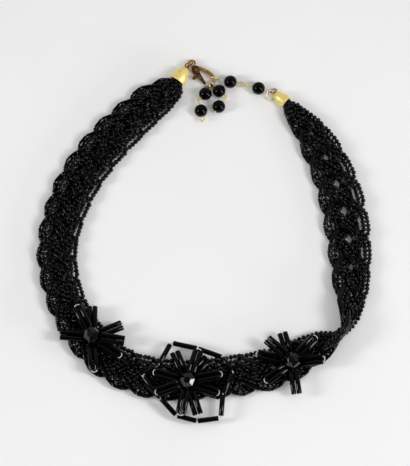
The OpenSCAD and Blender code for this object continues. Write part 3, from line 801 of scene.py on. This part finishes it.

# Two flat cheeks with the lever's slot between them, each a bevelled disc that overlaps the start of the
# arm.
arm_turn = np.radians(np.linspace(125, -55, 34))
bend = np.stack([HOOK_MIDDLE[0] + HOOK_R * np.cos(arm_turn), HOOK_MIDDLE[1] + HOOK_R * np.sin(arm_turn),
                 0 * arm_turn], 1)
shank = np.array([[1.7, 0.0, 0], [2.3, 0.2, 0], [3.0, 0.75, 0], [4.0, 1.5, 0], [5.2, 2.2, 0],
                  [6.6, 2.85, 0], [7.6, 3.25, 0]])
body_route = smooth(np.concatenate([shank, bend[2:]]), 3)
run = np.linspace(0, 1, len(body_route))
wide = np.interp(run, [0, 0.06, 0.16, 0.32, 0.5, 0.9, 1], [0.62, 0.75, 0.95, 0.85, 0.8, 0.78, 0.5])
thick = np.interp(run, [0, 0.06, 0.16, 0.32, 0.5, 0.9, 1], [0.6, 0.8, 1.1, 0.88, 0.8, 0.75, 0.5])
arm_points, arm_faces = swept(in_clasp(body_route), np.stack([thick, wide], 1), 16, flat=(0, 0, 1))


def bevelled_plate(outline, low, high, bevel, shrink):
    """A flat plate with rounded rims: outline points in the clasp's own frame, in mm."""
    outline = np.asarray(outline, float)
    middle = outline.mean(axis=0)
    rows = []
    for z, inset in ((low, 1), (low + 0.3 * bevel, 0.35), (low + bevel, 0), (high - bevel, 0),
                     (high - 0.3 * bevel, 0.35), (high, 1)):
        scale = 1 - inset * shrink
        rows.append(np.column_stack([middle + (outline - middle) * scale, np.full(len(outline), z)]))
    points = in_clasp(np.concatenate(rows))
    n = len(outline)
    faces = [[r * n + j, r * n + (j + 1) % n, (r + 1) * n + (j + 1) % n, (r + 1) * n + j]
             for r in range(len(rows) - 1) for j in range(n)]
    faces.append(list(range(n))[::-1])
    faces.append([(len(rows) - 1) * n + j for j in range(n)])
    return points, faces


HEAD_R = 1.9
HEAD_H = 2.6
SLOT_H = 1.24
turns = np.radians(np.linspace(0, 360, 40, endpoint=False))


def round_outline(middle, r, at_turns=turns):
    return np.stack([middle[0] + r * np.cos(at_turns), middle[1] + r * np.sin(at_turns)], 1)


disc = round_outline(HINGE, HEAD_R)
upper_points, upper_faces = bevelled_plate(disc, SLOT_H / 2, HEAD_H / 2, 0.25, 0.14)
lower_points, lower_faces = bevelled_plate(disc, -HEAD_H / 2, -SLOT_H / 2, 0.25, 0.14)
back_wall = turns[(turns > math.radians(85)) & (turns < math.radians(215))]
wall = np.concatenate([round_outline(HINGE, 1.86, back_wall), round_outline(HINGE, 1.3, back_wall[::-1])])
wall_points, wall_faces = bevelled_plate(wall, -SLOT_H / 2 - 0.1, SLOT_H / 2 + 0.1, 0.05, 0.0)
clasp = joined("lobster_clasp_casting", [
    (ring_points * MM, ring_faces, 0, 0.5), (arm_points * MM, arm_faces, 0, 0.5),
    (upper_points * MM, upper_faces, 1, 0.5), (lower_points * MM, lower_faces, 1, 0.5),
    (wall_points * MM, wall_faces, 1, 0.5)], [antique_brass, dark_antique_brass])
keep(clasp, instead_of=["clasp_body"])

# %% Clasp lever and pin
LEVER_T = 1.0
blade = [(2.75, -0.1), (2.5, -0.6), (2.7, -1.2), (3.3, -1.6), (4.2, -1.5), (5.2, -1.42), (5.55, -1.8),
         (5.55, -2.6), (5.45, -3.1), (5.5, -3.75), (5.9, -4.2), (6.5, -4.22), (6.9, -3.8), (6.95, -3.2),
         (6.8, -2.6), (6.95, -2.1), (7.4, -1.85), (8.6, -1.85), (10.2, -1.8), (11.3, -1.65),
         (11.75, -1.3), (11.85, -1.0), (11.7, -0.68), (11.25, -0.55), (9.6, -0.3), (7.8, -0.05),
         (5.9, 0.2), (4.4, 0.45), (3.4, 0.55)]
blade = smooth(np.array(blade + blade[:1]), 3)[:-1]
blade_points, blade_faces = bevelled_plate(blade, -LEVER_T / 2, LEVER_T / 2, 0.18, 0.03)
knob = round_outline((6.2, -3.5), 0.7)
knob_points, knob_faces = bevelled_plate(knob, -0.74, 0.74, 0.35, 0.35)
lever = joined("lobster_clasp_lever", [(blade_points * MM, blade_faces, 0, 0.5),
                                       (knob_points * MM, knob_faces, 0, 0.5)], [dark_antique_brass])
keep(lever, body="lever", instead_of=["clasp_lever"])

pin_disc = round_outline(HINGE, 0.4)
pin_points, pin_faces = bevelled_plate(pin_disc, -HEAD_H / 2 - 0.06, HEAD_H / 2 + 0.06, 0.14, 0.3)
keep(joined("lobster_clasp_rivet", [(pin_points * MM, pin_faces, 0, 0.5)], [worn_bronze_wire]),
     instead_of=["clasp_pin"])

# %% [markdown]
# ## Flowers
# A flower is a bunch of petals round a faceted bead. A petal is two bugle beads side by side on
# one nylon thread: the thread goes out through one, shows as a short bright arc at the tip, and
# comes back through the other. The bugles are cut cane with plain open ends, so each is a thin
# wall round a real hole. The petals fan out in two layers at angles read from the photograph.

# %% Petals
BUGLE_R = 1.2
BUGLE_HOLE = 0.5
BUGLE_L = 11.0
PETAL_THREAD_R = 0.2
APART = BUGLE_R + 0.06
LOW, HIGH = 6.4, 8.9
FLOWERS = {
    "left": ((-51.7, -47.5), (
        (89, 3.6, LOW, 6.2), (23, 4.2, LOW, 5.6), (-9, 4.3, HIGH, 8.2),
        (-34, 4.6, LOW, 6.3), (-86, 5.0, LOW, 6.6), (176, 3.6, LOW, 6.6),
        (116, 4.3, HIGH, 9.4))),
    "centre": ((-7.5, -68.8), (
        (113, 4.4, LOW, 6.2), (71, 4.3, HIGH, 8.2), (51, 3.6, LOW, 6.2),
        (12, 4.4, HIGH, 8.4), (-21, 3.7, LOW, 6.4), (-73, 5.1, LOW, 6.2),
        (-102, 4.9, HIGH, 7.9), (-158, 4.3, HIGH, 9.2), (165, 4.8, LOW, 8.2))),
    "right": ((40.5, -59.4), (
        (108, 3.6, LOW, 6.2), (138, 4.5, HIGH, 8.3), (167, 5.2, LOW, 6.4),
        (-143, 3.9, LOW, 6.4), (-82, 4.2, LOW, 6.0), (3, 3.6, LOW, 9.0),
        (46, 4.3, HIGH, 9.0))),
}
bugle_points, bugle_faces = lathe(bead_profile(BUGLE_R, BUGLE_HOLE, 0.5 * BUGLE_L, 0.18, 3), 28)


def bugle(start, end, tone):
    start, end = np.asarray(start, float), np.asarray(end, float)
    long = np.linalg.norm(end - start) / BUGLE_L
    points = (bugle_points * (1, 1, long)) @ axes_to(end - start) + (start + end) / 2
    return points * MM, bugle_faces, 0, tone


for name, (middle, petals) in FLOWERS.items():
    for number, (turn, start, low, tip) in enumerate(petals, 1):
        level = np.array([math.cos(math.radians(turn)), math.sin(math.radians(turn)), 0])
        side = np.array([-level[1], level[0], 0])
        tilt = math.asin((tip - low) / BUGLE_L)
        out = level * math.cos(tilt) + np.array([0, 0, math.sin(tilt)])
        root = np.array([*middle, 0]) - OUTLINE_MIDDLE + level * start + np.array([0, 0, low])
        end = root + out * BUGLE_L
        parts = [bugle(root + side * APART * d, end + side * APART * d, rng.uniform(0, 1))
                 for d in (-1, 1)]
        a = np.linspace(-math.pi / 2, math.pi / 2, 25)
        arc = end + out * (np.cos(a) * APART * 0.6)[:, None] + side * (np.sin(a) * APART)[:, None]
        inside = [end - out * 1.2 - side * APART * 0.98, end - out * 1.2 + side * APART * 0.98]
        thread, thread_faces = swept(np.concatenate([inside[:1], arc, inside[1:]]), PETAL_THREAD_R, 8)
        parts.append((thread * MM, thread_faces, 1, 0.5))
        piece = joined(f"{name}_petal_{number}_bugles", parts, [jet_bugle_glass, glint_painted_nylon])
        keep(piece, instead_of=[f"{name}_petal_{number}"])

# %% [markdown]
# ## Frame round the middle flower
# Round the middle flower runs a garland of single bugles, end to end, with a knot of clear
# thread at each corner. The corners aren't regular: the thread is slack and the beads lie where
# they fell, so their places are read from the photograph.

# %% Centre frame
CORNERS = np.array([
    [-7.7, 18.8, 5.4], [4.5, 16.0, 5.6], [15.8, 11.7, 6.4], [20.9, 4.5, 6.5], [16.2, -5.9, 6.5],
    [15.2, -16.9, 5.4], [4.3, -18.2, 4.8], [-5.2, -15.8, 5.6], [-12.4, -7.9, 6.5],
    [-20.9, 2.8, 6.5], [-13.2, 8.3, 6.5],
]) + np.array([-7.5, -68.8, 0]) - OUTLINE_MIDDLE
KNOT_R = 0.3
FRAME_GAP = 0.06


def corner_room(i):
    a = unit(CORNERS[i] - CORNERS[i - 1])
    b = unit(CORNERS[(i + 1) % len(CORNERS)] - CORNERS[i])
    return max(KNOT_R, BUGLE_R * math.tan(math.acos(float(a @ b)) / 2)) + FRAME_GAP


knot_profile = [(0.27, -0.22), (0.3, 0), (0.27, 0.22), (0.1, 0.3), (0.05, 0), (0.1, -0.3)]
parts = []
for i in range(len(CORNERS)):
    here, there = CORNERS[i], CORNERS[(i + 1) % len(CORNERS)]
    way = unit(there - here)
    parts.append(bugle(here + way * corner_room(i), there - way * corner_room((i + 1) % len(CORNERS)),
                       rng.uniform(0, 1)))
    thread, thread_faces = swept([here + way * 0.1, (here + there) / 2, there - way * 0.1],
                                 PETAL_THREAD_R, 8)
    parts.append((thread * MM, thread_faces, 1, 0.5))
    knot, knot_faces = lathe(knot_profile, 12)
    parts.append(((knot + here) * MM, knot_faces, 1, 0.5))
keep(joined("centre_frame_bugles", parts, [jet_bugle_glass, glint_painted_nylon]),
     instead_of=["centre_frame"])

# %% [markdown]
# ## Faceted beads
# In the middle of each flower sits a fire-polished bead, 8.2 mm across: a ball ground to rings of
# six flat facets. The facets must stay flat and their edges sharp, so it is built as a ball of
# few sides with flat shading, and only its edges are broken a little, as fire polishing does.
# The middle one is turned so that one facet mirrors the window, which the photograph shows.

# %% Faceted beads
FACETED_R = 4.1
FLOWER_BEAD_Z = 9.9
FACETS_ROUND = 6


def faceted_bead(name, middle, turn, lean):
    mesh = bmesh.new()
    rings = []
    for height, share_of_r in ((0.88, 0.40), (0.49, 0.87), (0, 1.0), (-0.49, 0.87), (-0.88, 0.40)):
        turns = np.radians(turn + 360 / FACETS_ROUND * np.arange(FACETS_ROUND))
        rings.append([mesh.verts.new((share_of_r * math.cos(a), share_of_r * math.sin(a), height))
                      for a in turns])
    bmesh.ops.convex_hull(mesh, input=mesh.verts[:])
    bmesh.ops.dissolve_limit(mesh, angle_limit=math.radians(4), verts=mesh.verts[:], edges=mesh.edges[:])
    bmesh.ops.scale(mesh, vec=(FACETED_R * MM,) * 3, verts=mesh.verts[:])
    tipped = Euler((math.radians(lean[0]), math.radians(lean[1]), 0)).to_matrix()
    bmesh.ops.rotate(mesh, cent=(0, 0, 0), matrix=tipped, verts=mesh.verts[:])
    bmesh.ops.bevel(mesh, geom=mesh.edges[:], offset=0.07 * MM, segments=1, affect="EDGES")
    data = bpy.data.meshes.new(name)
    mesh.to_mesh(data)
    mesh.free()
    data.materials.append(jet_faceted_glass)
    piece = bpy.data.objects.new(name, data)
    bpy.context.scene.collection.objects.link(piece)
    place = np.array([*middle, FLOWER_BEAD_Z]) - OUTLINE_MIDDLE
    piece.location = place * MM
    data.attributes.new(TONE, "FLOAT", "POINT").data.foreach_set(
        "value", np.full(len(data.vertices), 0.4, np.float32))
    return piece


for name, turn, lean in (("left", 20, (4, -10)), ("centre", 7.8, (12.9, -5.2)), ("right", 40, (9, -8))):
    piece = faceted_bead(f"{name}_flower_faceted_bead", FLOWERS[name][0], turn, lean)
    keep(piece, instead_of=[f"{name}_flower_bead"])

# %% [markdown]
# ## Table and light
# The real piece lies on plain white card in a light tent. Its round beads are mirrors and show
# the set: a lamp on the left, another on the right, a pale tent wall behind, and the dark room
# on the side where the photographer stands. One facet also shows a window low on the right. All
# five are built here, because black glass has no other look than what it mirrors. The picture is
# shown with the plain sRGB curve, since the softer default curve turns white card grey and lifts
# the black.

# %% Table
TABLE_SIZE = 3.0
bpy.ops.mesh.primitive_plane_add(size=TABLE_SIZE, location=(0, 0, 0))
table = bpy.context.object
table.name = "white_card_table"
card, card_surface = blank("white_card")
card_surface.inputs["Roughness"].default_value = 0.85
card_surface.inputs["Specular IOR Level"].default_value = 0.2
card_place = add(card, "TexCoord")
card_cloud = add(card, "TexNoise", values={"Scale": 1 / (90 * MM), "Detail": 2.0},
                 links={"Vector": (card_place, "Object")})
card_colour = add(card, "ValToRGB", links={"Fac": (card_cloud, "Fac")})
card_colour.color_ramp.elements[0].color = linear("#EDEDED")
card_colour.color_ramp.elements[1].color = linear("#F6F6F6")
join(card, card_colour, "Color", card_surface, "Base Color")
table.data.materials.append(card)
table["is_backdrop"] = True

# %% Lights
bpy.context.scene.view_settings.view_transform = "Standard"
TENT_BEHIND = 0.38
ROOM_IN_FRONT = 0.06
world = bpy.data.worlds.new("tent_and_room")
world.use_nodes = True
background = world.node_tree.nodes["Background"]
background.inputs["Color"].default_value = linear("#FFFFFF")
look = add(world, "TexCoord")
parts_of_look = add(world, "SeparateXYZ", links={"Vector": (look, "Generated")})
brightness = add(world, "MapRange", {"interpolation_type": "SMOOTHSTEP"},
                 {"From Min": -0.2, "From Max": 0.45, "To Min": ROOM_IN_FRONT, "To Max": TENT_BEHIND},
                 {"Value": (parts_of_look, "Y")})
join(world, brightness, "Result", background, "Strength")
bpy.context.scene.world = world


def long_lamp(name, turn_from_view, distance, size, radiance):
    """A strip lamp, turned from the line of sight to the right (+) or the left (-), in degrees."""
    turn = math.radians(turn_from_view)
    place = (towards_camera * math.cos(turn) + Vector((1, 0, 0)) * math.sin(turn)) * distance
    light = bpy.data.lights.new(name, "AREA")
    light.shape = "RECTANGLE"
    light.size, light.size_y = size
    light.energy = radiance * math.pi * size[0] * size[1]
    lamp = bpy.data.objects.new(name, light)
    bpy.context.scene.collection.objects.link(lamp)
    lamp.location = place
    lamp.rotation_euler = (-place).to_track_quat("-Z", "Y").to_euler()
    return lamp


long_lamp("lamp_left", -55, 1.2, (0.22, 0.45), 17)
long_lamp("lamp_right", 42, 1.2, (0.22, 0.45), 17)
window = long_lamp("window_right", 0, 1.2, (0.5, 0.4), 16)
window.location = Vector((0.9, -0.44, 0.22)) * 1.6
window.rotation_euler = (-window.location).to_track_quat("-Z", "Y").to_euler()
# The tent's top spreads soft light over the card. It is thin cloth that the black beads show
# only as dimness, so it lights the card and isn't mirrored.
tent_top = long_lamp("tent_top", 8, 1.6, (2.4, 2.4), 0.66)
tent_top.visible_glossy = False
print("table, tent, dark room, two lamps and a window")

# %% Sizes and finish
for label, box in (("frame", cad_box), ("visual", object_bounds())):
    print(label, [[round(c / MM, 2) for c in corner] for corner in box])
